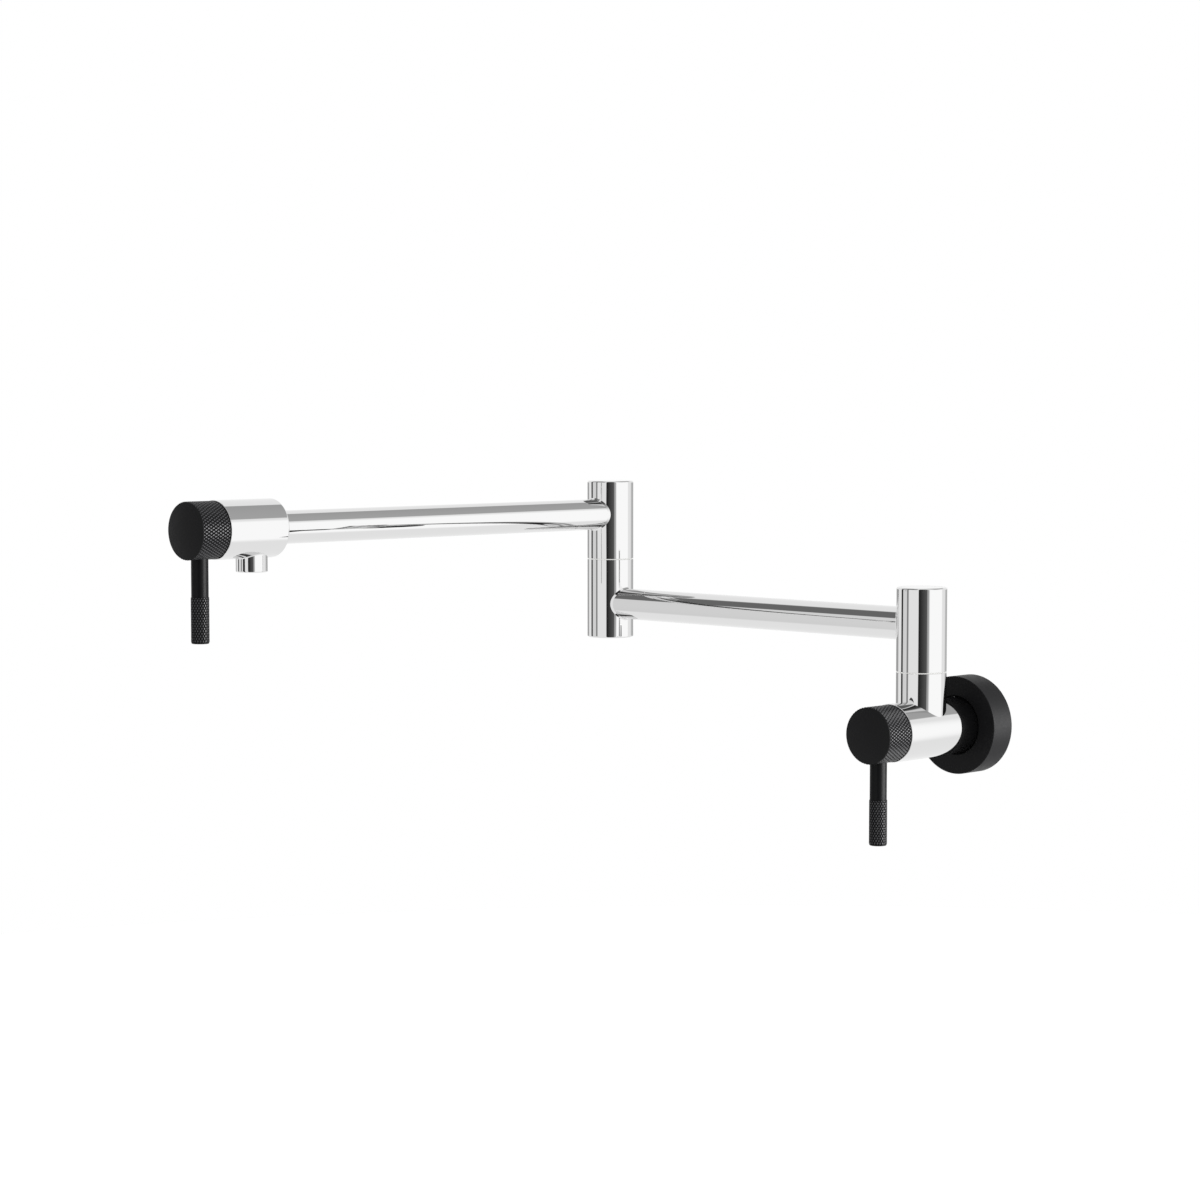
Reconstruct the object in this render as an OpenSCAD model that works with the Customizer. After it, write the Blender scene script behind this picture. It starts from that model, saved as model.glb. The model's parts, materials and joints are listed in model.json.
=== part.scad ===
// Wall-mounted pot filler: a double-jointed tap with one valve at the wall and one at the spout.
// The wall is the plane Y = 0 and the tap stands out towards -Y, with +Z up and +X to the right.
// The origin is the mouth of the water inlet. All sizes are in millimetres.

/* [Wall flange and inlet] */
// Diameter of the black flange that covers the hole in the wall
flange_d = 60.2; // [54:0.2:70]
// Depth of the flange, from the wall to its front face
flange_t = 17.5; // [14:0.5:22]
// Thickness of the flange's front plate
flange_plate = 6; // [5:0.5:8]
// Thickness of the flange's rim
flange_rim = 2.6; // [2:0.2:5]
// Open ring between the flange and the collar
flange_gap = 0.6; // [0.3:0.1:1]
// Diameter of the black collar between flange and valve
collar_d = 34.4; // [32:0.2:36]
// Bore of the threaded inlet, at the mean diameter of its thread
inlet_d = 19.8; // [18:0.1:21]
// Depth of the inlet thread
inlet_depth = 14; // [10:1:18]
// Across the flats of the hexagon at the wall end of the union
union_flats = 27; // [25:1:28]
// Length of that hexagon
union_hex = 8; // [5:1:12]
// Diameter of the union's screwed nose in the valve body
nose_d = 26; // [22:0.5:28]
// Length of that nose
nose_len = 7; // [6:0.2:10]
// Thickness of the foam gasket behind the flange
gasket_t = 2; // [1:0.5:3]
// Width of that gasket
gasket_w = 6; // [4:0.5:8]

/* [Valve bodies] */
// Diameter of both valve bodies
body_d = 35.1; // [34:0.1:40]
// From the wall to the back end of the base valve body
base_back = 32.7; // [28:0.1:36]
// From the wall to the swivel axis
axis_out = 50.6; // [50:0.1:54]
// Length of the base valve body
base_len = 47.5; // [45:0.1:52]
// Length of the spout valve body
spout_len = 43.7; // [42:0.1:48]
// From the back end of the spout body to the outlet axis
outlet_back = 15.4; // [14:0.1:18]
// Depth of the arm's socket in the spout body
socket_depth = 3.6; // [3:0.2:6]
// Rounding at the back end of the spout body
body_edge = 1.2; // [0.4:0.1:2]
// Rounding at the back end of the base body and of the collar beside it
collar_edge = 0.4; // [0.2:0.1:0.8]
// Rounding of the bodies' front ends, beside the knobs
front_edge = 0.3; // [0.2:0.1:0.5]
// Diameter of the waterways
water_d = 11; // [8:0.5:12]
// From the front of each valve body back to the cartridge's seat
seat_depth = 35.5; // [34:0.1:37]

/* [Swivel posts] */
// Diameter of the posts
post_d = 30.4; // [29:0.1:34]
// Height of the base joint line above the valve axis
joint_h = 35; // [32:0.5:45]
// From the base joint line to the top of the post
base_sleeve = 51.45; // [50:0.05:60]
// Length of each half of the elbow post
elbow_sleeve = 52.05; // [50:0.05:60]
// From the lower arm's axis to the outer end of its sleeves
lower_inset = 22.7; // [21:0.1:25]
// From the upper arm's axis to the outer end of its sleeve
upper_inset = 22.1; // [21:0.1:25]
// Gap between the two halves of a swivel, filled by the low-friction washer's lip
joint_gap = 0.5; // [0.05:0.05:0.8]
// Rounding of the posts' outer ends
post_edge = 1.2; // [0.4:0.1:2]
// Bevel beside the joint lines
joint_edge = 0.15; // [0.1:0.05:0.6]
// Thickness of the caps that close the posts
cap_t = 1.6; // [1.2:0.1:2]
// Metal ring left around a cap
cap_rim = 2.8; // [2.2:0.1:3.2]

/* [Arms] */
// Outer diameter of both arm tubes
arm_d = 20; // [18:0.2:21]
// Wall of the arm tubes
arm_wall = 2; // [1:0.25:3]
// From the base swivel axis to the elbow axis
lower_reach = 265.1; // [200:0.1:300]
// From the elbow axis to the outlet axis
upper_reach = 302.6; // [290:0.1:360]

/* [Swivel spindles] */
// How much wider than the arm the sleeves are bored
bore_extra = 2; // [1.6:0.1:2.4]
// Diameter of a spindle's screwed foot
foot_d = 20; // [17:0.2:21]
// Length of that foot
foot_len = 13; // [10:0.5:14]
// Diameter of the stud that carries the retaining nut
stud_d = 10; // [8:0.5:11]
// Thickness of the sleeve's inner lip under the nut
lip_t = 2.2; // [1.6:0.1:2.6]
// Thickness of the retaining washer
retainer_t = 1; // [0.6:0.1:1.2]
// Outer diameter of the retaining washer
retainer_d = 19; // [17:0.5:20]
// Thickness of the retaining nut
nut_t = 2.6; // [2:0.1:3]
// Across the flats of the retaining nut
nut_flats = 16; // [13:0.5:17]
// Thickness of the low-friction washer at the joint line
thrust_t = 1.2; // [1:0.1:1.6]
// Metal ring left outside that washer
thrust_rim = 1.3; // [1:0.1:1.8]
// From the post's surface in to the edge of the washer's lip
lip_inset = 0.2; // [0.15:0.05:0.6]
// Height of the spindle's ring-shaped port
port_h = 9; // [7:0.5:10]
// Depth of that port
port_depth = 1.4; // [0.8:0.1:1.8]
// Diameter of the four holes into it
port_hole_d = 6.4; // [4:0.2:7]
// Thickness of the spindles' seal rings
spindle_seal = 1.5; // [1:0.1:1.8]

/* [Cartridges] */
// Bore of the cartridge chamber, at its thread
chamber_d = 21; // [20.4:0.1:22]
// Outer diameter of the disc cage
cage_d = 17.6; // [17:0.1:18.4]
// Diameter of the ceramic discs
disc_d = 15; // [14:0.1:15.4]
// Thickness of each ceramic disc
disc_t = 3; // [2.4:0.1:3.4]
// Height of the rubber seat seal
seal_t = 2; // [1.4:0.1:2.6]
// Length of the housing's thread
housing_thread = 13; // [10:0.5:15]
// Across the flats of the housing's hexagon
housing_flats = 24; // [22:0.5:25]
// Height of that hexagon
hex_t = 3; // [2.4:0.1:3.2]
// Height of the quarter-turn stop
stop_t = 1.5; // [1.2:0.1:1.6]
// Angle through which the handles turn
handle_turn = 90; // [60:5:120]
// Diameter of the stem
stem_d = 8; // [7:0.1:9]
// Thickness of the stem's seal rings
stem_seal = 1.2; // [0.9:0.1:1.4]

/* [Handles] */
// Diameter of the knobs
knob_d = 34.4; // [33:0.1:38]
// Length of the knobs
knob_len = 20; // [20:0.1:24]
// Rounding of the knobs' edges
knob_edge = 0.4; // [0.2:0.1:0.8]
// Depth of the hollow at the back of a knob
knob_hollow = 4.9; // [4.8:0.05:4.95]
// Diameter of the lever's plain shaft
lever_d = 9.8; // [8:0.1:9.9]
// Diameter of the knurled grip
grip_d = 10.8; // [10:0.1:14]
// From the valve axis to the end of the lever
lever_reach = 66.4; // [55:0.1:80]
// Length of the knurled grip
grip_len = 27.6; // [20:0.1:32]
// Depth at which the shaft is let into the knob
lever_seat = 5; // [3:0.5:6]
// Diameter of the lever's screwed end
lever_screw_d = 6; // [4:0.5:7]

/* [Outlet] */
// Outer diameter of the aerator shell
outlet_d = 18.8; // [17:0.1:20]
// From the spout axis down to the bottom of the shell
outlet_drop = 25.9; // [24:0.1:30]
// Bevel at the bottom of the shell
outlet_edge = 0.8; // [0.4:0.1:1.2]
// Wall of the shell
shell_wall = 1.7; // [1.2:0.1:2.2]
// Metal left between the cartridge chamber and the shell's socket
socket_floor = 2.4; // [2:0.1:3]
// Thickness of the rubber washer over the aerator
aerator_washer_t = 2; // [1.5:0.1:2.5]
// How far the aerator insert lies inside the shell's end
aerator_recess = 1; // [0.5:0.1:2]
// Number of spokes in the aerator's grid
spokes = 8; // [6:1:12]

/* [Hidden] */
$fn = 96;

chrome = "#d5d8db";
matt_black = "#1d1d1f";
brass = "#b8954a";
rubber = "#3a3a3c";
ceramic = "#efeade";
white_plastic = "#f4f4f1";
foam = "#55585c";

// Clearances: turning pieces, screwed or pressed pieces, and pieces that only pass each other
run_fit = 0.05;
fixed_fit = 0.05;
pass_gap = 0.3;
// How loosely seal rings lie in their grooves, and screwed ends stop before their sockets do
ring_play = 0.02;
socket_play = 0.1;
// How far a cutting shape runs past the face that it cuts
past = 1;

// Heights and places of the joints, from the driving sizes
lower_z = joint_h + base_sleeve - lower_inset;
elbow_z = lower_z - lower_inset + elbow_sleeve;
upper_z = elbow_z + elbow_sleeve - upper_inset;
elbow_x = -lower_reach;
base_front = base_back + base_len;
spout_back = upper_reach - outlet_back;
spout_front = spout_back + spout_len;

// Grooves for the rings that seal the flange and the union
flange_groove = 1.4;
flange_groove_w = 2.4;
flange_chamfer = 0.5;
gasket_play = 0.2;
union_ring_d = 1.6;
union_groove_w = 2.2;

// Radii shared by posts, sleeves, spindles and caps
post_r = post_d / 2;
arm_r = arm_d / 2;
water_r = water_d / 2;
bore_r = (arm_d + bore_extra) / 2;
spindle_r = bore_r - run_fit;
foot_r = foot_d / 2;
stud_r = stud_d / 2;
cap_r = post_r - cap_rim;
cap_ledge = 1.4;
cap_edge = 0.2;
foot_play = 0.2;
thrust_out_r = post_r - thrust_rim - pass_gap;
thrust_in_r = bore_r + pass_gap;

// The stack under a post's cap, from the cap down to the top of the spindle
nut_space = 0.5;
function nut_top(height) = height - cap_t - nut_space;
function lip_top(height) = nut_top(height) - nut_t - retainer_t;
function spindle_top(height) = lip_top(height) - lip_t - pass_gap;

// Places of a spindle's seal rings, as the height of each groove's middle
groove_w = spindle_seal + 0.5;
groove_floor_r = spindle_r - spindle_seal - ring_play;
lower_rings = [7, 13];
groove_shoulder = 0.8;
function ring_heights(height) =
  concat(lower_rings, [spindle_top(height) - groove_shoulder - groove_w / 2]);

// The cartridge, measured from its seat towards the handle
chamber_r = chamber_d / 2;
cage_r = cage_d / 2;
disc_r = disc_d / 2;
cage_bore_r = disc_r + fixed_fit;
seal_lip = 0.3;
opening_angle = 76;
opening_in_r = 1.5;
disc_land = 1.35;
stem_r = stem_d / 2;
guide_r = stem_r + run_fit;
cage_foot = 0.6;
disc_face = seal_t + disc_t;
driver_base = disc_face + disc_t;
driver_h = 3;
driver_w = 5;
collar_h = 1.5;
cage_top = driver_base + driver_h + collar_h + pass_gap;
stop_base = seat_depth + hex_t;
stop_wall = 2.6;
stop_in_r = stem_r + 2;
stop_out_r = stop_in_r + stop_wall;
finger_w = 3;
finger_play = 0.1;
finger_slack = asin(finger_w / 2 / stop_in_r) + 1;
stem_rings = [seat_depth - 13, seat_depth - 9];
stem_groove_w = stem_seal + 0.3;
stem_groove_r = stem_r - stem_seal - ring_play;
housing_ring_d = 1.4;
housing_ring_z = seat_depth - 2.1;
housing_groove_w = housing_ring_d + 0.2;
window_w = 9;

// Handles, measured from the back of the knob
knob_r = knob_d / 2;
lever_r = lever_d / 2;
grip_r = grip_d / 2;
lever_mid = knob_len / 2;
shaft_in = knob_r - lever_seat;
hollow_r = housing_flats / 2 / cos(30) + 0.5;
knob_wall = 4;
grip_edge = 0.6;
grip_shoulder = 0.3;

// Outlet, measured down from the spout axis
outlet_r = outlet_d / 2;
shell_top = chamber_r + socket_floor;
shell_bore_r = outlet_r - shell_wall;
shell_ledge = 1;
insert_top = shell_top + aerator_washer_t;
insert_len = outlet_drop - aerator_recess - insert_top;
insert_wall = 1.2;
insert_hub_r = 1.4;
spoke_w = 0.6;
spoke_h = 2;

// A round bar along +Z, with its two ends rounded
module bar(r, len, low_edge = 0, high_edge = 0) {
  rotate_extrude() {
    translate([0, low_edge]) square([r, len - low_edge - high_edge]);
    square([r - low_edge, len - high_edge]);
    translate([0, low_edge]) square([r - high_edge, len - low_edge]);
    if (low_edge > 0) translate([r - low_edge, low_edge]) quarter(low_edge, -90);
    if (high_edge > 0) translate([r - high_edge, len - high_edge]) quarter(high_edge, 0);
  }
}

// A post standing on its joint line, with that end bevelled and the far end rounded
module post_bar(len, far_edge) {
  intersection() {
    bar(post_r, len, 0, far_edge);
    cylinder(r1 = post_r - joint_edge, r2 = post_r - joint_edge + len, h = len);
  }
}

// A quarter of a round plate, turned about its corner
module quarter(r, turn) {
  rotate(turn) intersection() {
    circle(r, $fn = 48);
    square(r);
  }
}

// A flat ring standing on its low face
module ring(outer_r, inner_r, height) {
  difference() {
    cylinder(r = outer_r, h = height);
    translate([0, 0, -past]) cylinder(r = inner_r, h = height + 2 * past);
  }
}

// A seal ring of round section, centred on its own height
module seal_ring(inner_r, section) {
  rotate_extrude() translate([inner_r + section / 2, 0]) circle(section / 2, $fn = 24);
}

// A hexagon given by its width across flats
module hexagon(flats, height) {
  cylinder(r = flats / 2 / cos(30), h = height, $fn = 6);
}

// Frames of reference: distance from the wall along the base valve, the two cartridge seats,
// the two knobs, the two joint lines, and the outlet
module from_wall() { rotate([90, 0, 0]) children(); }
module at_base_axis(z) { translate([0, -axis_out, z]) children(); }
module at_elbow_axis(z) { translate([elbow_x, -axis_out, z]) children(); }
module along_spout() { at_elbow_axis(upper_z) rotate([90, 0, 0]) children(); }
module at_base_seat() { from_wall() translate([0, 0, base_front - seat_depth]) children(); }
module at_spout_seat() { along_spout() translate([0, 0, spout_front - seat_depth]) children(); }
module at_base_knob() { from_wall() translate([0, 0, base_front + pass_gap]) children(); }
module at_spout_knob() { along_spout() translate([0, 0, spout_front + pass_gap]) children(); }
module below_outlet() {
  translate([elbow_x, -axis_out - upper_reach, upper_z]) rotate([180, 0, 0]) children();
}

module wall_flange() {
  bore = collar_d / 2 + flange_gap;
  groove_back = flange_t - flange_plate / 2 - flange_groove_w / 2;
  color(matt_black) from_wall() difference() {
    bar(flange_d / 2, flange_t, 0, flange_chamfer);
    translate([0, 0, -past])
      cylinder(r = flange_d / 2 - flange_rim, h = flange_t - flange_plate + past);
    translate([0, 0, -past]) cylinder(r = bore, h = flange_t + 2 * past);
    translate([0, 0, flange_t - flange_chamfer])
      cylinder(r1 = bore, r2 = bore + 2 * flange_chamfer, h = 2 * flange_chamfer);
    translate([0, 0, groove_back]) cylinder(r = bore + flange_groove, h = flange_groove_w);
  }
}

module flange_seal_ring() {
  section = flange_gap + flange_groove - 2 * ring_play;
  color(rubber) from_wall() translate([0, 0, flange_t - flange_plate / 2])
    seal_ring(collar_d / 2 + ring_play, section);
}

module wall_gasket() {
  outer = flange_d / 2 - flange_rim - gasket_play;
  color(foam) from_wall() ring(outer, outer - gasket_w, gasket_t);
}

module wall_union() {
  color(matt_black) from_wall() difference() {
    union() {
      hexagon(union_flats, union_hex);
      translate([0, 0, union_hex]) bar(collar_d / 2, base_back - union_hex, collar_edge, collar_edge);
      translate([0, 0, base_back]) cylinder(r = nose_d / 2 - fixed_fit, h = nose_len);
    }
    translate([0, 0, -past]) cylinder(r = inlet_d / 2, h = inlet_depth + past);
    cylinder(r = water_r, h = base_back + nose_len + past);
    translate([0, 0, base_back + nose_len / 2])
      ring(nose_d / 2 + past, nose_d / 2 - fixed_fit - union_ring_d - ring_play, union_groove_w);
  }
}

module union_seal_ring() {
  color(rubber) from_wall() translate([0, 0, base_back + nose_len / 2 + union_groove_w / 2])
    seal_ring(nose_d / 2 - fixed_fit - union_ring_d, union_ring_d);
}

// What both valve bodies lose to the cartridge: the chamber and the way into it from the socket
module cartridge_chamber(floor_t) {
  cylinder(r = chamber_r, h = seat_depth + past);
  translate([0, 0, -floor_t - past]) cylinder(r = water_r, h = floor_t + 2 * past);
}

module valve_body() {
  socket_len = nose_len + socket_play;
  color(chrome) difference() {
    union() {
      from_wall() translate([0, 0, base_back]) bar(body_d / 2, base_len, collar_edge, front_edge);
      at_base_axis(joint_h) mirror([0, 0, 1]) post_bar(joint_h, 0);
    }
    from_wall() translate([0, 0, base_back - past]) cylinder(r = nose_d / 2, h = socket_len + past);
    at_base_seat() cartridge_chamber(base_len - seat_depth - socket_len);
    at_base_axis(chamber_r - past) cylinder(r = water_r, h = joint_h);
    at_base_axis(joint_h - foot_len - foot_play)
      cylinder(r = foot_r, h = foot_len + foot_play + past);
  }
}

// A spindle on its joint line, in a post of the given height with the arm at arm_h
module spindle(height, arm_h) {
  top = spindle_top(height);
  difference() {
    union() {
      translate([0, 0, -foot_len]) cylinder(r = foot_r - fixed_fit, h = foot_len);
      cylinder(r = spindle_r, h = top);
      translate([0, 0, top]) cylinder(r = stud_r, h = nut_top(height) - top);
    }
    translate([0, 0, -foot_len - past]) cylinder(r = water_r, h = foot_len + past + arm_h + port_h / 2);
    translate([0, 0, arm_h - port_h / 2]) ring(spindle_r + past, spindle_r - port_depth, port_h);
    for (turn = [0, 90])
      translate([0, 0, arm_h]) rotate([90, 0, turn + 45])
        cylinder(d = port_hole_d, h = 2 * spindle_r, center = true);
    for (z = ring_heights(height))
      translate([0, 0, z - groove_w / 2]) ring(spindle_r + past, groove_floor_r, groove_w);
  }
}

module spindle_rings(height) {
  for (z = ring_heights(height))
    translate([0, 0, z]) seal_ring(groove_floor_r + ring_play, spindle_seal);
}

// The low-friction washer, with a thin lip that shows as a white line between the posts
module thrust_washer() {
  ring(thrust_out_r, thrust_in_r, thrust_t);
  ring(post_r - lip_inset, thrust_in_r, joint_gap);
}

module retaining_washer(height) {
  translate([0, 0, lip_top(height)]) ring(retainer_d / 2, stud_r + fixed_fit, retainer_t);
}

module retaining_nut(height) {
  translate([0, 0, nut_top(height) - nut_t]) difference() {
    hexagon(nut_flats, nut_t);
    translate([0, 0, -past]) cylinder(r = stud_r + fixed_fit, h = nut_t + 2 * past);
  }
}

// A turning post, from its joint line up, with a side hole for the arm towards +X
module turning_post(height, arm_h) {
  difference() {
    translate([0, 0, joint_gap]) post_bar(height - joint_gap, post_edge);
    translate([0, 0, -past]) cylinder(r = bore_r, h = spindle_top(height) + pass_gap + past);
    translate([0, 0, -past]) cylinder(r = thrust_out_r + pass_gap, h = thrust_t + past);
    cylinder(r = stud_r + pass_gap, h = height);
    translate([0, 0, lip_top(height)]) cylinder(r = cap_r - cap_ledge, h = height);
    cap_recess(height);
    arm_hole(arm_h);
  }
}

module cap_recess(height) {
  translate([0, 0, height - cap_t]) cylinder(r = cap_r + fixed_fit, h = cap_t + past);
}

module arm_hole(arm_h) {
  translate([0, 0, arm_h]) rotate([0, 90, 0]) cylinder(r = arm_r + fixed_fit, h = post_r + past);
}

module post_cap(height) {
  translate([0, 0, height - cap_t]) bar(cap_r, cap_t, 0, cap_edge);
}

// The lower half of the elbow: it holds the spindle's foot above and is capped below
module fixed_post(height, arm_h) {
  difference() {
    post_bar(height, post_edge);
    translate([0, 0, foot_len + foot_play]) cylinder(r = bore_r, h = height);
    translate([0, 0, -past]) cylinder(r = foot_r, h = height);
    cap_recess(height);
    arm_hole(arm_h);
  }
}

module base_post_frame() { at_base_axis(joint_h) rotate([0, 0, 180]) children(); }
module elbow_upper_frame() { at_elbow_axis(elbow_z) rotate([0, 0, -90]) children(); }
module elbow_lower_frame() { at_elbow_axis(elbow_z) mirror([0, 0, 1]) children(); }

module base_spindle() {
  color(brass) base_post_frame() spindle(base_sleeve, base_sleeve - lower_inset);
}
module base_spindle_seal_rings() { color(rubber) base_post_frame() spindle_rings(base_sleeve); }
module base_thrust_washer() { color(white_plastic) base_post_frame() thrust_washer(); }
module base_retaining_washer() { color(brass) base_post_frame() retaining_washer(base_sleeve); }
module base_retaining_nut() { color(brass) base_post_frame() retaining_nut(base_sleeve); }
module base_sleeve_post() {
  color(chrome) base_post_frame() turning_post(base_sleeve, base_sleeve - lower_inset);
}
module base_post_cap() { color(chrome) base_post_frame() post_cap(base_sleeve); }

// An arm tube along +X from its first post's axis, cut to the bore of each post that it enters
module arm_tube(len, far_post) {
  difference() {
    rotate([0, 90, 0]) ring(arm_r, arm_r - arm_wall, len);
    cylinder(r = bore_r + pass_gap, h = 2 * arm_d, center = true);
    if (far_post) translate([len, 0, 0])
      cylinder(r = bore_r + pass_gap, h = 2 * arm_d, center = true);
  }
}

module lower_arm_tube() {
  color(chrome) at_base_axis(lower_z) rotate([0, 0, 180]) arm_tube(lower_reach, true);
}

module elbow_lower_post() {
  color(chrome) elbow_lower_frame() fixed_post(elbow_sleeve, elbow_sleeve - lower_inset);
}
module elbow_bottom_cap() { color(chrome) elbow_lower_frame() post_cap(elbow_sleeve); }
module elbow_spindle() {
  color(brass) elbow_upper_frame() spindle(elbow_sleeve, elbow_sleeve - upper_inset);
}
module elbow_spindle_seal_rings() { color(rubber) elbow_upper_frame() spindle_rings(elbow_sleeve); }
module elbow_thrust_washer() { color(white_plastic) elbow_upper_frame() thrust_washer(); }
module elbow_retaining_washer() { color(brass) elbow_upper_frame() retaining_washer(elbow_sleeve); }
module elbow_retaining_nut() { color(brass) elbow_upper_frame() retaining_nut(elbow_sleeve); }
module elbow_upper_post() {
  color(chrome) elbow_upper_frame() turning_post(elbow_sleeve, elbow_sleeve - upper_inset);
}
module elbow_top_cap() { color(chrome) elbow_upper_frame() post_cap(elbow_sleeve); }

module upper_arm_tube() {
  color(chrome) at_elbow_axis(upper_z) rotate([0, 0, -90]) arm_tube(spout_back + socket_depth, false);
}

module spout_body() {
  color(chrome) difference() {
    along_spout() translate([0, 0, spout_back]) bar(body_d / 2, spout_len, body_edge, front_edge);
    along_spout() translate([0, 0, spout_back - past])
      cylinder(r = arm_r + fixed_fit, h = socket_depth + past);
    at_spout_seat() cartridge_chamber(spout_len - seat_depth - socket_depth);
    below_outlet() cylinder(r = water_r, h = body_d);
    below_outlet() translate([0, 0, shell_top]) cylinder(r = outlet_r + fixed_fit, h = body_d);
  }
}

// The pieces of a cartridge, each from the seat towards the handle
module cartridge_housing() {
  difference() {
    union() {
      translate([0, 0, cage_foot]) cylinder(r = cage_r, h = seat_depth - cage_foot);
      translate([0, 0, seat_depth - housing_thread])
        cylinder(r = chamber_r - fixed_fit, h = housing_thread);
      translate([0, 0, seat_depth]) hexagon(housing_flats, hex_t);
      translate([0, 0, stop_base]) cylinder(r = stop_out_r, h = stop_t);
    }
    cylinder(r = cage_bore_r, h = cage_top);
    cylinder(r = guide_r, h = stop_base + stop_t + past);
    translate([-cage_d, -window_w / 2, driver_base]) cube([2 * cage_d, window_w, driver_h]);
    translate([0, 0, housing_ring_z - housing_groove_w / 2])
      ring(chamber_r + past, chamber_r - fixed_fit - housing_ring_d, housing_groove_w);
    translate([0, 0, stop_base]) cylinder(r = stop_in_r, h = stop_t + past);
    translate([0, 0, stop_base]) rotate([0, 0, -90 - finger_slack])
      rotate_extrude(angle = handle_turn + 2 * finger_slack)
        translate([stem_r, 0]) square([stop_out_r, stop_t + past]);
  }
}

module housing_seal_ring() {
  translate([0, 0, housing_ring_z])
    seal_ring(chamber_r - fixed_fit - housing_ring_d + ring_play, housing_ring_d - 2 * ring_play);
}

module seat_seal() { ring(disc_r, water_r - seal_lip, seal_t); }

// A ceramic disc with two opposed sector openings, turned to the given angle
module ceramic_disc(turn) {
  difference() {
    cylinder(r = disc_r, h = disc_t);
    for (side = [0, 180])
      translate([0, 0, -past]) rotate([0, 0, side + turn - opening_angle / 2])
        rotate_extrude(angle = opening_angle) translate([opening_in_r, 0])
          square([disc_r - disc_land - opening_in_r, disc_t + 2 * past]);
  }
}

module fixed_disc() { translate([0, 0, seal_t]) ceramic_disc(0); }
module moving_disc() { translate([0, 0, disc_face]) ceramic_disc(90); }

module stem() {
  end = seat_depth + knob_len - knob_wall;
  difference() {
    union() {
      translate([0, 0, driver_base]) intersection() {
        cylinder(r = disc_r - pass_gap, h = driver_h);
        translate([-driver_w / 2, -disc_r, 0]) cube([driver_w, disc_d, driver_h]);
      }
      translate([0, 0, driver_base + driver_h]) cylinder(r = disc_r - pass_gap, h = collar_h);
      translate([0, 0, driver_base]) cylinder(r = stem_r, h = end - driver_base);
      translate([-finger_w / 2, -stop_out_r + pass_gap, stop_base + finger_play])
        cube([finger_w, stop_out_r - pass_gap, stop_t - 2 * finger_play]);
    }
    for (z = stem_rings)
      translate([0, 0, z - stem_groove_w / 2]) ring(stem_r + past, stem_groove_r, stem_groove_w);
  }
}

module stem_seal_rings() {
  for (z = stem_rings) translate([0, 0, z]) seal_ring(stem_groove_r + ring_play, stem_seal);
}

module base_cartridge_housing() { color(brass) at_base_seat() cartridge_housing(); }
module base_housing_seal_ring() { color(rubber) at_base_seat() housing_seal_ring(); }
module base_seat_seal() { color(rubber) at_base_seat() seat_seal(); }
module base_fixed_disc() { color(ceramic) at_base_seat() fixed_disc(); }
module base_moving_disc() { color(ceramic) at_base_seat() moving_disc(); }
module base_stem() { color(brass) at_base_seat() stem(); }
module base_stem_seal_rings() { color(rubber) at_base_seat() stem_seal_rings(); }
module spout_cartridge_housing() { color(brass) at_spout_seat() cartridge_housing(); }
module spout_housing_seal_ring() { color(rubber) at_spout_seat() housing_seal_ring(); }
module spout_seat_seal() { color(rubber) at_spout_seat() seat_seal(); }
module spout_fixed_disc() { color(ceramic) at_spout_seat() fixed_disc(); }
module spout_moving_disc() { color(ceramic) at_spout_seat() moving_disc(); }
module spout_stem() { color(brass) at_spout_seat() stem(); }
module spout_stem_seal_rings() { color(rubber) at_spout_seat() stem_seal_rings(); }

// A knob from its back, with the lever's hole pointing down
module knob() {
  difference() {
    bar(knob_r, knob_len, knob_edge, knob_edge);
    translate([0, 0, -past]) cylinder(r = hollow_r, h = knob_hollow + past);
    cylinder(r = stem_r + fixed_fit, h = knob_len - knob_wall);
    translate([0, 0, lever_mid]) rotate([90, 0, 0]) {
      cylinder(d = lever_screw_d + 2 * fixed_fit, h = knob_r);
      translate([0, 0, shaft_in]) cylinder(r = lever_r + fixed_fit, h = knob_r);
    }
  }
}

// A lever as one turned piece: screwed end, plain shaft, and the grip's envelope
module lever() {
  translate([0, 0, lever_mid]) rotate([90, 0, 0]) {
    translate([0, 0, stem_r + fixed_fit])
      cylinder(d = lever_screw_d, h = shaft_in - stem_r);
    translate([0, 0, shaft_in + fixed_fit])
      cylinder(r = lever_r, h = lever_reach - grip_len - shaft_in);
    translate([0, 0, lever_reach - grip_len]) bar(grip_r, grip_len, grip_shoulder, grip_edge);
  }
}

module base_knob() { color(matt_black) at_base_knob() knob(); }
module base_lever() { color(matt_black) at_base_knob() lever(); }
module spout_knob() { color(matt_black) at_spout_knob() knob(); }
module spout_lever() { color(matt_black) at_spout_knob() lever(); }

module aerator_shell() {
  color(chrome) below_outlet() difference() {
    translate([0, 0, shell_top]) bar(outlet_r, outlet_drop - shell_top, 0, outlet_edge);
    translate([0, 0, shell_top - past])
      cylinder(r = shell_bore_r, h = outlet_drop - shell_top - aerator_recess + past);
    cylinder(r = shell_bore_r - shell_ledge, h = outlet_drop + past);
  }
}

module aerator_washer() {
  color(rubber) below_outlet() translate([0, 0, shell_top])
    ring(shell_bore_r - fixed_fit, water_r, aerator_washer_t);
}

module aerator_insert() {
  outer = shell_bore_r - fixed_fit;
  middle = (outer - insert_wall) / 2;
  color(white_plastic) below_outlet() translate([0, 0, insert_top]) {
    ring(outer, outer - insert_wall, insert_len);
    translate([0, 0, insert_len - spoke_h]) {
      ring(middle + spoke_w / 2, middle - spoke_w / 2, spoke_h);
      cylinder(r = insert_hub_r, h = spoke_h);
      for (i = [0 : spokes - 1]) rotate([0, 0, i * 360 / spokes])
        translate([0, -spoke_w / 2, 0]) cube([outer - insert_wall / 2, spoke_w, spoke_h]);
    }
  }
}

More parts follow.
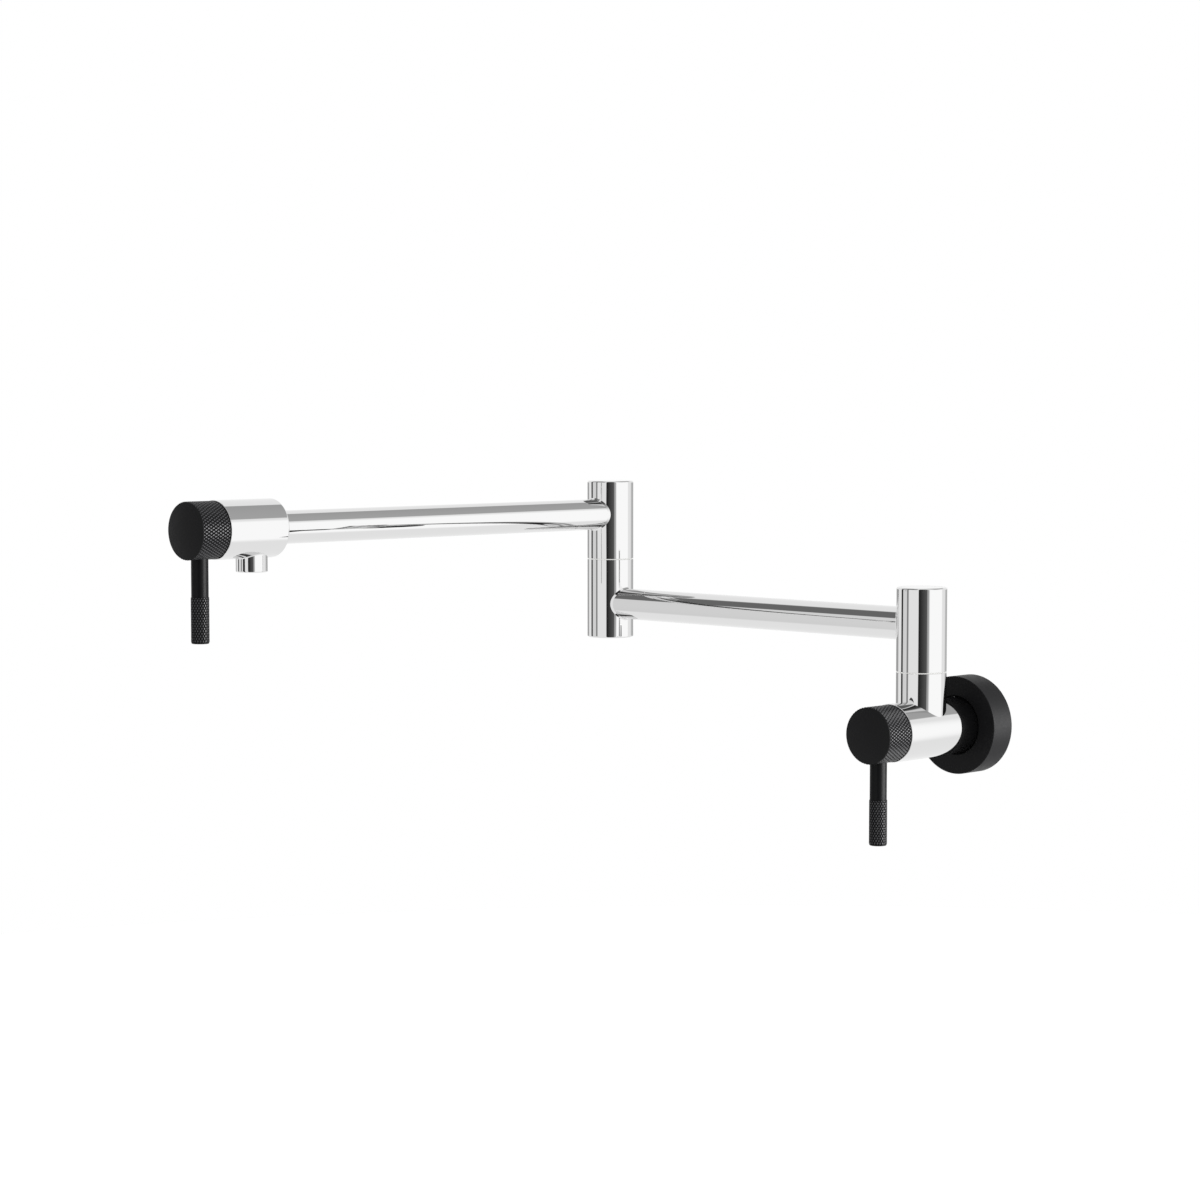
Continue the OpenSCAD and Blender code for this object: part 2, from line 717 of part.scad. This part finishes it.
wall_flange();
wall_gasket();
flange_seal_ring();
wall_union();
union_seal_ring();
valve_body();
base_spindle();
base_spindle_seal_rings();
base_thrust_washer();
base_retaining_washer();
base_retaining_nut();
base_cartridge_housing();
base_housing_seal_ring();
base_seat_seal();
base_fixed_disc();
base_sleeve_post();
base_post_cap();
lower_arm_tube();
elbow_lower_post();
elbow_bottom_cap();
elbow_spindle();
elbow_spindle_seal_rings();
elbow_thrust_washer();
elbow_retaining_washer();
elbow_retaining_nut();
elbow_upper_post();
elbow_top_cap();
upper_arm_tube();
spout_body();
spout_cartridge_housing();
spout_housing_seal_ring();
spout_seat_seal();
spout_fixed_disc();
aerator_shell();
aerator_washer();
aerator_insert();
base_knob();
base_lever();
base_stem();
base_stem_seal_rings();
base_moving_disc();
spout_knob();
spout_lever();
spout_stem();
spout_stem_seal_rings();
spout_moving_disc();
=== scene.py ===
import json
import math

import bmesh
import bpy
from mathutils import Matrix, Vector

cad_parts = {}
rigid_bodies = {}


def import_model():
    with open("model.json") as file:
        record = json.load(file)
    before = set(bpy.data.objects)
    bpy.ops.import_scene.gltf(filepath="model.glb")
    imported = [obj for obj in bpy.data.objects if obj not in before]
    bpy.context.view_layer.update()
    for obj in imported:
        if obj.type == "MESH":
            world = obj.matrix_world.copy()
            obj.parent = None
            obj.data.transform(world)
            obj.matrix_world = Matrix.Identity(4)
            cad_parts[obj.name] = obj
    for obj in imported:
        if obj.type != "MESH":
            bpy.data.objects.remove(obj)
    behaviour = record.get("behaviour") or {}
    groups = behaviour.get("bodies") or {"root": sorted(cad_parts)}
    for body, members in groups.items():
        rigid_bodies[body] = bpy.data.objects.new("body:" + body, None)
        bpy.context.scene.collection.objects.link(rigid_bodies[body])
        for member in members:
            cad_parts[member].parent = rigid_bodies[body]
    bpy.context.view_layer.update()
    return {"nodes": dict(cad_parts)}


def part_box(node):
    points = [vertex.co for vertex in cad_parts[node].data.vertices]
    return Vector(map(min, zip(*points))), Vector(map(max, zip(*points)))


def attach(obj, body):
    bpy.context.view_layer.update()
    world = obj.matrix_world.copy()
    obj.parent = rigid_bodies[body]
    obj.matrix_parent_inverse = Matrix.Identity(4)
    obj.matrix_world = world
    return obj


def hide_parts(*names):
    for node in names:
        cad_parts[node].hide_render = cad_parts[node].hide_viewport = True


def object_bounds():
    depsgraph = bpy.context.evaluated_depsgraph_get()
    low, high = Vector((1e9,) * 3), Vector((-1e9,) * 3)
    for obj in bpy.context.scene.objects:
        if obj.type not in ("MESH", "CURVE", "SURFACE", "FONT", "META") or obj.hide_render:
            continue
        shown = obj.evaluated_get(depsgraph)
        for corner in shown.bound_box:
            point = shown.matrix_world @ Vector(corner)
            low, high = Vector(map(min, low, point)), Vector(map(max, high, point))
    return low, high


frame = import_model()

# A wall-mounted pot filler in polished chrome and matt black, with knurled handles
mm = 0.001
tiny = 1e-6     # m, less than any real step in the shapes


def linear(code):
    # An sRGB hex colour as linear values
    values = [int(code[i:i + 2], 16) / 255 for i in (1, 3, 5)]
    return [v / 12.92 if v <= 0.04045 else ((v + 0.055) / 1.055) ** 2.4 for v in values] + [1.0]


def addNode(tree, kind, links=None, **settings):
    # Each link is a plain value, a socket, or a node, which stands for its first output in use
    node = tree.nodes.new(kind)
    for name, value in settings.items():
        setattr(node, name, value)
    for socket, value in (links or {}).items():
        if isinstance(value, bpy.types.Node):
            value = next(output for output in value.outputs if output.enabled)
        if isinstance(value, bpy.types.NodeSocket):
            tree.links.new(value, node.inputs[socket])
        else:
            node.inputs[socket].default_value = value
    return node


# The camera: a little above the arms, looking slightly down, turned 45 degrees to the wall
camera = {
    "location": (1.13491, -1.46038, 0.20440),
    "tilt": 86.0,       # degrees from straight down
    "heading": 45.0,    # degrees
    "lens": 89.6,       # mm
    "sensor": 36,       # mm wide
    "sight": 50,        # m, as far as it sees
}


def setCamera():
    data = bpy.data.cameras.new("camera")
    data.lens = camera["lens"]
    data.sensor_width = camera["sensor"]
    data.clip_end = camera["sight"]
    eye = bpy.data.objects.new("camera", data)
    eye.location = camera["location"]
    eye.rotation_euler = [math.radians(camera["tilt"]), 0, math.radians(camera["heading"])]
    bpy.context.scene.collection.objects.link(eye)
    bpy.context.scene.camera = eye


# The studio: a light tent with a few cards in it. Azimuth is 0 towards the camera and grows
# towards its right, height is the angle above the horizon, and both are in degrees. Each card
# has its left, right, low and high sides, how soft each of them is, and its light at the left
# and at the right.
studio = {
    "tent": 1.0,        # the tent's light, as chrome sees it
    "diffuse": 0.95,    # the tent's light on matt pieces
    "cards": {
        "backdrop in shade, right": ((128, 190, -12, 0), (14, 1, 6, 3), (0.6, 0.35)),
        "backdrop in shade, left": ((-190, -138, -12, 0), (1, 14, 6, 3), (0.45, 0.38)),
        "grey ceiling": ((60, 152, 30.5, 76), (8, 3, 2, 4), (0.5, 0.42)),
        "soft box": ((31, 100, -34, 24), (3, 8, 10, 8), (1.27, 1.27)),
        "black flag": ((-20.5, 19.5, -60, 60), (3, 3, 10, 6), (0.008, 0.118)),
        "edge of the flag": ((19.5, 28, -60, 60), (3, 5, 10, 6), (0.36, 0.52)),
        "grey card": ((-103, -79, -34, 25), (3, 3, 8, 3), (0.8, 0.86)),
        "dark band beside the card": ((-112, -100.8, -20, 25), (1.5, 1.5, 4, 3), (0.02, 0.02)),
        "second grey band": ((-78, -68.5, -20, 25), (3, 3, 4, 3), (0.28, 0.28)),
        "dark card high on the left": ((-125, -30, 26, 70), (10, 8, 3, 4), (0.17, 0.17)),
    },
}


def towards(azimuth, height):
    # The direction of a place in the studio, seen from the tap. A camera with a heading of 0
    # stands at -Y, which is -90 degrees.
    turn, rise = math.radians(camera["heading"] - 90 + azimuth), math.radians(height)
    return Vector((math.cos(turn) * math.cos(rise), math.sin(turn) * math.cos(rise), math.sin(rise)))


def studioWorld():
    world = bpy.data.worlds.new("studio")
    world.use_nodes = True
    tree = world.node_tree
    tree.nodes.clear()
    ray = addNode(tree, "ShaderNodeTexCoord").outputs["Generated"]
    near, right, up = (
        addNode(tree, "ShaderNodeVectorMath", {0: ray, 1: axis}, operation="DOT_PRODUCT")
        for axis in (towards(0, 0), towards(90, 0), towards(0, 90)))
    around = addNode(tree, "ShaderNodeMath", {0: right, 1: near}, operation="ARCTAN2")
    above = addNode(tree, "ShaderNodeMath", {0: up}, operation="ARCSINE")
    azimuth, height = (
        addNode(tree, "ShaderNodeMath", {0: angle}, operation="DEGREES") for angle in (around, above))

    def within(value, sides, soft):
        # 1 between the two sides and 0 past them, with a soft step at each
        rise, fall = (
            addNode(tree, "ShaderNodeMapRange", {
                "Value": value, "From Min": side - width / 2, "From Max": side + width / 2,
                "To Min": start, "To Max": 1 - start,
            }, interpolation_type="SMOOTHSTEP")
            for side, width, start in zip(sides, soft, (0.0, 1.0)))
        return addNode(tree, "ShaderNodeMath", {0: rise, 1: fall}, operation="MULTIPLY")

    light = studio["tent"]
    for sides, soft, ends in studio["cards"].values():
        covers = addNode(tree, "ShaderNodeMath", {
            0: within(azimuth, sides[:2], soft[:2]), 1: within(height, sides[2:], soft[2:]),
        }, operation="MULTIPLY")
        level = addNode(tree, "ShaderNodeMapRange", {
            "Value": azimuth, "From Min": sides[0], "From Max": sides[1],
            "To Min": ends[0], "To Max": ends[1],
        })
        light = addNode(tree, "ShaderNodeMix", {"Factor": covers, "A": light, "B": level})
    tent, plain, white = (
        addNode(tree, "ShaderNodeBackground", {"Color": (1, 1, 1, 1), "Strength": strength})
        for strength in (light, studio["diffuse"], 1.0))
    # Chrome sees the tent, matt pieces are lit by its plain light, and the camera sees white
    path = addNode(tree, "ShaderNodeLightPath").outputs
    mirrored = addNode(tree, "ShaderNodeMath", {
        0: path["Is Glossy Ray"], 1: path["Is Transmission Ray"],
    }, operation="MAXIMUM")
    lit = addNode(tree, "ShaderNodeMixShader", {0: mirrored, 1: plain, 2: tent})
    seen = addNode(tree, "ShaderNodeMixShader", {0: path["Is Camera Ray"], 1: lit, 2: white})
    addNode(tree, "ShaderNodeOutputWorld", {"Surface": seen})
    bpy.context.scene.world = world


def newFinish(name, look, *values):
    # The look gives the shader's values and patterns, from the tree and the place on the piece
    material = bpy.data.materials.new(name)
    material.use_nodes = True
    tree = material.node_tree
    tree.nodes.clear()
    place = addNode(tree, "ShaderNodeTexCoord").outputs["Object"]
    shader = addNode(tree, "ShaderNodeBsdfPrincipled", look(tree, place, *values))
    addNode(tree, "ShaderNodeOutputMaterial", {"Surface": shader})
    return material


# The noise texture hardly leaves this range
noiseRange = (0.3, 0.7)


def vary(tree, place, size, low=0.0, high=1.0):
    # Cloudy values from low to high, in patches of the given size
    noise = addNode(tree, "ShaderNodeTexNoise", {"Vector": place, "Scale": 1 / size})
    return addNode(tree, "ShaderNodeMapRange", {
        "Value": noise, "From Min": noiseRange[0], "From Max": noiseRange[1], "To Min": low, "To Max": high,
    })


# Chrome plate on buffed brass: a bright neutral mirror, with a faint haze left by the buffing
def polishedChrome(tree, place):
    waves = vary(tree, place, 9 * mm)
    return {
        "Base Color": linear("#DFDFDF"),
        "Metallic": 1.0,
        "Roughness": vary(tree, place, 14 * mm, 0.005, 0.025),
        "Normal": addNode(tree, "ShaderNodeBump", {"Height": waves, "Distance": 0.0006 * mm}),
    }


# Matt black powder coat: nearly black, with a soft sheen at glancing angles and a fine orange
# peel. The real grain of 0.3 mm wouldn't show, so it is drawn at 0.7 mm.
def blackCoat(tree, place, colour, roughness, sheen):
    peel = vary(tree, place, 0.7 * mm)
    return {
        "Base Color": linear(colour),
        "Specular IOR Level": sheen,
        "Roughness": vary(tree, place, 5 * mm, roughness - 0.04, roughness + 0.04),
        "Normal": addNode(tree, "ShaderNodeBump", {"Height": peel, "Distance": 0.005 * mm}),
    }


# Black coat on knurls: smoother than the powder coat, because fingers polish it
def knurlCoat(tree, place, colour, sheen):
    peel = vary(tree, place, 0.5 * mm)
    return {
        "Base Color": linear(colour),
        "Specular IOR Level": sheen,
        "Roughness": vary(tree, place, 4 * mm, 0.3, 0.37),
        "Normal": addNode(tree, "ShaderNodeBump", {"Height": peel, "Distance": 0.003 * mm}),
    }


# Free-cutting brass off the lathe: warm yellow, with turning marks that blur its reflections.
# The real marks are too fine to show, so they are drawn 2.5 mm apart, because the wave texture
# repeats at every tau / 20 of the 8 mm.
def turnedBrass(tree, place):
    marks = addNode(tree, "ShaderNodeTexWave", {
        "Vector": place, "Scale": 1 / (8 * mm), "Distortion": 0.6,
    }, wave_type="BANDS", bands_direction="Z").outputs["Fac"]
    return {
        "Base Color": linear("#D6B26A"),
        "Metallic": 1.0,
        "Roughness": vary(tree, place, 3 * mm, 0.22, 0.36),
        "Normal": addNode(tree, "ShaderNodeBump", {"Height": marks, "Distance": 0.01 * mm}),
    }


# EPDM rubber, moulded: nearly black, dull, slightly uneven
def sealRubber(tree, place):
    grain = vary(tree, place, 0.4 * mm)
    return {
        "Base Color": addNode(tree, "ShaderNodeMix", {
            "Factor": vary(tree, place, 2 * mm), "A": linear("#222224"), "B": linear("#2D2D2F"),
        }, data_type="RGBA"),
        "Roughness": 0.72,
        "Normal": addNode(tree, "ShaderNodeBump", {"Height": grain, "Distance": 0.01 * mm}),
    }


# Closed-cell foam tape: grey, with small open cells along its cut sides
def foamTape(tree, place):
    cells = addNode(tree, "ShaderNodeTexVoronoi", {"Vector": place, "Scale": 1 / (0.6 * mm)})
    return {
        "Base Color": addNode(tree, "ShaderNodeMix", {
            "Factor": cells, "A": linear("#3C3F43"), "B": linear("#5A5D61"),
        }, data_type="RGBA"),
        "Roughness": 0.9,
        "Normal": addNode(tree, "ShaderNodeBump", {"Height": cells, "Distance": 0.08 * mm}),
    }


# Lapped alumina: ivory white, hard and satin
def aluminaCeramic(tree, place):
    return {
        "Base Color": addNode(tree, "ShaderNodeMix", {
            "Factor": vary(tree, place, 1.5 * mm), "A": linear("#EBE6D8"), "B": linear("#F3F0E6"),
        }, data_type="RGBA"),
        "Roughness": 0.22,
        "IOR": 1.7,
    }


# PTFE sheet, skived: waxy white, with faint knife lines. The washers' lips show as the white
# lines between the halves of the posts.
def ptfeSheet(tree, place):
    knifeLines = vary(tree, place, 0.5 * mm)
    return {
        "Base Color": linear("#F1F1EE"),
        "Roughness": 0.45,
        "IOR": 1.38,
        "Normal": addNode(tree, "ShaderNodeBump", {"Height": knifeLines, "Distance": 0.008 * mm}),
    }


# Acetal, moulded: off-white with a light satin sheen
def mouldedAcetal(tree, place):
    waves = vary(tree, place, 1.2 * mm)
    return {
        "Base Color": linear("#E9E9E5"),
        "Roughness": 0.35,
        "IOR": 1.48,
        "Normal": addNode(tree, "ShaderNodeBump", {"Height": waves, "Distance": 0.01 * mm}),
    }


# The black coats also have their colour, roughness and sheen here
finishes = {
    "chrome": newFinish("polished_chrome", polishedChrome),
    # The flange, and the knobs' faces and rims
    "black_coat": newFinish("matt_black_powder_coat", blackCoat, "#151516", 0.44, 0.08),
    # The collar: smoother, with a clearer sheen
    "black_union": newFinish("satin_black_plate", blackCoat, "#0F0F10", 0.3, 0.2),
    # The levers' shafts: darker, with a narrower highlight
    "black_shaft": newFinish("matt_black_coat_on_shaft", blackCoat, "#0D0D0E", 0.34, 0.08),
    # The knurls' grooves, and the flat tops of their diamonds in a lighter dark grey: a painted highlight
    "black_knurl": newFinish("black_coat_on_knurl", knurlCoat, "#0E0E0F", 0.17),
    "crest_highlight": newFinish("black_coat_with_painted_highlight_on_crests", knurlCoat, "#38383A", 0.22),
    "raw_brass": newFinish("turned_brass", turnedBrass),
    "seal_rubber": newFinish("epdm_rubber", sealRubber),
    "gasket_foam": newFinish("closed_cell_foam", foamTape),
    "ceramic": newFinish("lapped_alumina", aluminaCeramic),
    "ptfe": newFinish("skived_ptfe", ptfeSheet),
    "aerator_plastic": newFinish("moulded_acetal", mouldedAcetal),
}


def dressNodes():
    for node in frame["nodes"].values():
        for slot in node.material_slots:
            slot.material = finishes[slot.material.name.split(".")[0]]


def middle(node):
    low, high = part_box(node)
    return (low + high) / 2


def sizeOf(node):
    low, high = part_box(node)
    return high - low


def grow(mesh, loop):
    # Extrudes a boundary loop, and gives the new vertices and the new loop
    grown = bmesh.ops.extrude_edge_only(mesh, edges=loop)["geom"]
    verts = [item for item in grown if isinstance(item, bmesh.types.BMVert)]
    return verts, [item for item in grown if isinstance(item, bmesh.types.BMEdge) and item.is_boundary]


def markSharp(mesh, degrees):
    # Shading stays smooth across the edges whose faces turn by less than this
    for edge in mesh.edges:
        edge.smooth = edge.calc_face_angle(math.pi) < math.radians(degrees)


def toObject(name, mesh, *materials):
    data = bpy.data.meshes.new(name)
    mesh.to_mesh(data)
    mesh.free()
    for material in materials:
        data.materials.append(material)
    made = bpy.data.objects.new(name, data)
    bpy.context.scene.collection.objects.link(made)
    return made


# What the knobs and the levers share
turned = {
    "steps": 4,         # columns of vertices across each diamond of the knurl, and rows along it
    "flat": 0.5,        # where a diamond is cut flat, as a share of its slope
    "round": 0.3,       # where the middle of a rounded edge lies, as a share of its radius
    "sharp": 25,        # degrees
}


def saw(value):
    # 0 in a groove, 1 half way to the next one
    return 1 - abs(2 * (value % 1) - 1)


def knurl(side, band, pitch):
    # Two crossing sets of spiral grooves leave diamonds with a flat top: each step of one groove
    # takes a side vertex round by a diamond's width and along by its length
    for vert in side:
        turns = math.atan2(vert.co.y, vert.co.x) / math.tau * band["around"]
        steps = (vert.co.z - band["from"]) / pitch
        rise = min(saw(turns + steps), saw(turns - steps), turned["flat"]) / turned["flat"]
        vert.co.xy = vert.co.xy.normalized() * (band["radius"] - band["depth"] * (1 - rise))


def rimAndEdge(values, radius, end, inwards):
    # Rings for the plain rim and the rounded edge before the end face at that height
    rim, edge = values["rim"], values["edge"]
    bend = edge * turned["round"]
    return [(radius, end + inwards * (rim + edge)), (radius, end + inwards * edge),
            (radius - bend, end + inwards * bend), (radius - edge, end)]


def turnedPiece(name, node, body, band, before, after, place, plain):
    # A turned bar around +Z: the knurled band first, then rings towards both ends, and end faces
    mesh = bmesh.new()
    steps, length = turned["steps"], band["to"] - band["from"]
    rows = round(length / (band["pitch"] / steps))
    bmesh.ops.create_cone(mesh, cap_ends=False, segments=band["around"] * steps,
                          radius1=band["radius"], radius2=band["radius"], depth=length)
    bmesh.ops.translate(mesh, verts=mesh.verts, vec=(0, 0, (band["from"] + band["to"]) / 2))
    upright = [edge for edge in mesh.edges if not edge.is_boundary]
    bmesh.ops.subdivide_edges(mesh, edges=upright, cuts=rows - 1, use_grid_fill=True)
    bmesh.ops.poke(mesh, faces=mesh.faces)
    knurl(mesh.verts[:], band, length / rows * steps)
    knurled = set(mesh.faces)
    for height, rings in ((band["from"], before), (band["to"], after)):
        loop = [edge for edge in mesh.edges if edge.is_boundary
                and all(abs(vert.co.z - height) < tiny for vert in edge.verts)]
        for radius, ring in rings:
            verts, loop = grow(mesh, loop)
            for vert in verts:
                vert.co.xy = vert.co.xy.normalized() * radius
                vert.co.z = ring
        bmesh.ops.edgeloop_fill(mesh, edges=loop)
    bmesh.ops.recalc_face_normals(mesh, faces=mesh.faces)
    groove, smooth, crest = 0, 1, 2    # the numbers of the three materials
    for face in mesh.faces:
        onTop = min(vert.co.xy.length for vert in face.verts) > band["radius"] - tiny
        face.smooth = face not in knurled
        # Flat diamond tops take the lighter crest coat, a painted highlight where light catches the knurl
        face.material_index = smooth if face.smooth else crest if onTop else groove
    markSharp(mesh, turned["sharp"])
    mesh.transform(place)
    piece = toObject(name, mesh, *(finishes[slot] for slot in ("black_knurl", plain, "crest_highlight")))
    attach(piece, body)
    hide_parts(node)


# The knobs, measured along the valve from their back, over the cartridge, to their face
knob = {
    "around": 54,           # diamonds round the knob
    "pitch": 3.4 * mm,      # a diamond's length along the knob
    "depth": 0.45 * mm,
    "rim": 0.3 * mm,        # plain rim beside each end face
    "edge": 0.3 * mm,       # rounding between rim and end face
    "hollow": 14.4 * mm,    # radius of the hollow that clears the cartridge
    "hollowDepth": 4.9 * mm,
    "bore": 4.05 * mm,      # radius of the stem's bore
    "wall": 4 * mm,         # between the bore's end and the face
}


def knurledKnob(name, node, body):
    low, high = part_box(node)
    length, ends = high.y - low.y, knob["rim"] + knob["edge"]
    band = {**knob, "radius": (high.x - low.x) / 2, "from": ends, "to": length - ends}
    plain = band["radius"] - knob["depth"] / 2
    back = [*rimAndEdge(knob, plain, 0, 1), (knob["hollow"], 0), (knob["hollow"], knob["hollowDepth"]),
            (knob["bore"], knob["hollowDepth"]), (knob["bore"], length - knob["wall"])]
    face = rimAndEdge(knob, plain, length, -1)
    centre = middle(node)
    place = Matrix.Translation((centre.x, high.y, centre.z)) @ Matrix.Rotation(math.pi / 2, 4, "X")
    turnedPiece(name, node, body, band, back, face, place, "black_coat")


# The levers, measured down from the valve's axis: a plain shaft and a knurled grip
lever = {
    "around": 20,
    "pitch": 3.0 * mm,
    "depth": 0.36 * mm,
    "grip": 27.6 * mm,      # length
    "shoulder": 0.2 * mm,   # bevel at the grip's upper end
    "rim": 0.5 * mm,
    "edge": 0.5 * mm,
    "shaft": 5.1 * mm,      # radius
    "seat": 12.2 * mm,      # where the shaft starts inside the knob
}


def knurledLever(name, node, body):
    low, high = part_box(node)
    centre, axisZ = middle(node), middle(node.replace("lever", "knob")).z
    reach = axisZ - low.z
    start, shoulder = reach - lever["grip"], lever["shoulder"]
    band = {**lever, "radius": (high.x - low.x) / 2, "from": start + lever["rim"],
            "to": reach - lever["rim"] - lever["edge"]}
    plain = band["radius"] - lever["depth"] / 2
    upper = [(plain, band["from"]), (plain, start + shoulder), (plain - shoulder, start),
             (lever["shaft"], start), (lever["shaft"], lever["seat"])]
    tip = rimAndEdge(lever, plain, reach, -1)
    place = Matrix.Translation((centre.x, centre.y, axisZ)) @ Matrix.Rotation(math.pi, 4, "X")
    turnedPiece(name, node, body, band, upper, tip, place, "black_shaft")


# The brazed joints: a concave bead round the end of each arm and of the outlet
bead = {
    "width": 1.0 * mm,
    "outletWidth": 0.6 * mm,
    "sunk": 0.15 * mm,      # how far its edges go into the tube and into the wall
    "rings": 5,             # steps across the bead
    "segments": 96,         # round the tube
    "sharp": 50,            # degrees
}


def brazedBead(name, body, centre, heading, axis, tube, wall, width=bead["width"]):
    # The tube leaves along the heading, from a wall that is flat, where its radius is 0, or
    # round about the axis
    def reach(y):
        return math.sqrt(wall * wall - y * y) if wall else 0.0

    def section(angle, share):
        # From the tube, 0, round the hollow of the bead to the wall, 1
        outer = tube + width
        corner = Vector((reach(tube * math.sin(angle)), tube))
        near = Vector((corner.x + width, tube - bead["sunk"]))
        far = Vector((reach(outer * math.sin(angle)) - bead["sunk"], outer))
        along, radius = near * (1 - share) ** 2 + corner * 2 * share * (1 - share) + far * share ** 2
        return Vector((along, radius * math.sin(angle), radius * math.cos(angle)))

    mesh = bmesh.new()
    bmesh.ops.create_circle(mesh, segments=bead["segments"], radius=tube)
    bmesh.ops.rotate(mesh, verts=mesh.verts, matrix=Matrix.Rotation(math.pi / 2, 3, "Y"))
    verts, first = mesh.verts[:], mesh.edges[:]
    loop = first
    for ring in range(bead["rings"] + 1):
        if ring:
            verts, loop = grow(mesh, loop)
        for vert in verts:
            vert.co = section(math.atan2(vert.co.y, vert.co.z), ring / bead["rings"])
    bmesh.ops.bridge_loops(mesh, edges=[*first, *loop])
    bmesh.ops.recalc_face_normals(mesh, faces=mesh.faces)
    for face in mesh.faces:
        face.smooth = True
    markSharp(mesh, bead["sharp"])
    turn = Matrix((heading, axis.cross(heading), axis)).transposed()
    mesh.transform(Matrix.Translation(centre) @ turn.to_4x4())
    piece = toObject(name, mesh, finishes["chrome"])
    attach(piece, body)


def brazedJoints():
    right, back, up = Vector((1, 0, 0)), Vector((0, 1, 0)), Vector((0, 0, 1))
    base, lower, upper = (
        middle(node) for node in ("base_sleeve_post", "elbow_lower_post", "elbow_upper_post"))
    lowerZ, upperZ = middle("lower_arm_tube").z, middle("upper_arm_tube").z
    spoutEnd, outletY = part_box("spout_body")[1].y, middle("aerator_shell").y
    post, barrel = sizeOf("base_sleeve_post").x / 2, sizeOf("spout_body").x / 2
    tube, outlet = sizeOf("lower_arm_tube").z / 2, sizeOf("aerator_shell").x / 2
    brazedBead("base_post_bead", "lower_arm", (base.x, base.y, lowerZ), -right, up, tube, post)
    brazedBead("elbow_lower_bead", "lower_arm", (lower.x, lower.y, lowerZ), right, up, tube, post)
    brazedBead("elbow_upper_bead", "upper_arm", (upper.x, upper.y, upperZ), -back, up, tube, post)
    brazedBead("spout_body_bead", "upper_arm", (upper.x, spoutEnd, upperZ), back, up, tube, 0)
    brazedBead("outlet_bead", "upper_arm", (upper.x, outletY, upperZ), -up, back, outlet, barrel,
               bead["outletWidth"])


# A lamp at the right for the flange, the knobs and the levers alone: it draws out their knurls
# and edges, while the chrome and the collar keep the plain tent
lamp = {
    "azimuth": 72,      # degrees, like the cards'
    "height": -2,
    "distance": 1.8,    # m, from the upper arm
    "size": 1.4,        # m across
    "watts": 64,
}


def blackLamp():
    heading = towards(lamp["azimuth"], lamp["height"])
    data = bpy.data.lights.new("side_lamp", "AREA")
    data.shape = "DISK"
    data.size = lamp["size"]
    data.energy = lamp["watts"]
    light = bpy.data.objects.new("side_lamp", data)
    light.location = middle("upper_arm_tube") + heading * lamp["distance"]
    light.rotation_euler = heading.to_track_quat("Z", "Y").to_euler()
    light.visible_camera = False
    bpy.context.scene.collection.objects.link(light)
    black = {finishes["black_coat"], finishes["black_knurl"]}
    receivers = bpy.data.collections.new("lit by the side lamp")
    for piece in bpy.context.scene.objects:
        if piece.type == "MESH" and black & {slot.material for slot in piece.material_slots}:
            receivers.objects.link(piece)
    light.light_linking.receiver_collection = receivers


# A plain pale floor, far enough below to keep the tap clear of it
floorValues = {
    "below": 0.5,       # m, under the tap
    "radius": 2.6,      # m
    "segments": 96,
    "patches": 0.4,     # m, the size of its faint clouds
    "glow": 0.5,        # its own light
}


# Floor paint: nearly white and dull, with a little light of its own so that it stays even
def floorPaint(tree, place):
    clouds = vary(tree, place, floorValues["patches"])
    return {
        "Base Color": addNode(tree, "ShaderNodeMix", {
            "Factor": clouds, "A": linear("#F0F0EF"), "B": linear("#F5F5F4"),
        }, data_type="RGBA"),
        "Roughness": 0.8,
        "Emission Color": (1, 1, 1, 1),
        "Emission Strength": floorValues["glow"],
    }


def paleFloor():
    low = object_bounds()[0]
    mesh = bmesh.new()
    bmesh.ops.create_circle(mesh, cap_ends=True, segments=floorValues["segments"],
                            radius=floorValues["radius"])
    bmesh.ops.translate(mesh, verts=mesh.verts, vec=(0, 0, low.z - floorValues["below"]))
    material = newFinish("pale_painted_floor", floorPaint)
    # Mirrors look through the floor to the tent's own floor
    tree = material.node_tree
    surface = tree.nodes["Material Output"].inputs["Surface"]
    paint = surface.links[0].from_socket
    mirrored = addNode(tree, "ShaderNodeLightPath").outputs["Is Glossy Ray"]
    clear = addNode(tree, "ShaderNodeBsdfTransparent")
    seen = addNode(tree, "ShaderNodeMixShader", {0: mirrored, 1: paint, 2: clear})
    tree.links.new(seen.outputs[0], surface)
    floor = toObject("floor", mesh, material)


setCamera()
studioWorld()
print("Camera and studio set")
dressNodes()
print("CAD nodes dressed")
knurledKnob("base_knob_knurled", "base_knob", "base_handle")
knurledKnob("spout_knob_knurled", "spout_knob", "spout_handle")
knurledLever("base_lever_knurled", "base_lever", "base_handle")
knurledLever("spout_lever_knurled", "spout_lever", "spout_handle")
print("Knobs and levers knurled")
brazedJoints()
print("Joints brazed")
paleFloor()
blackLamp()
bpy.context.scene.view_settings.view_transform = "Standard"
print("Floor and lamp set")
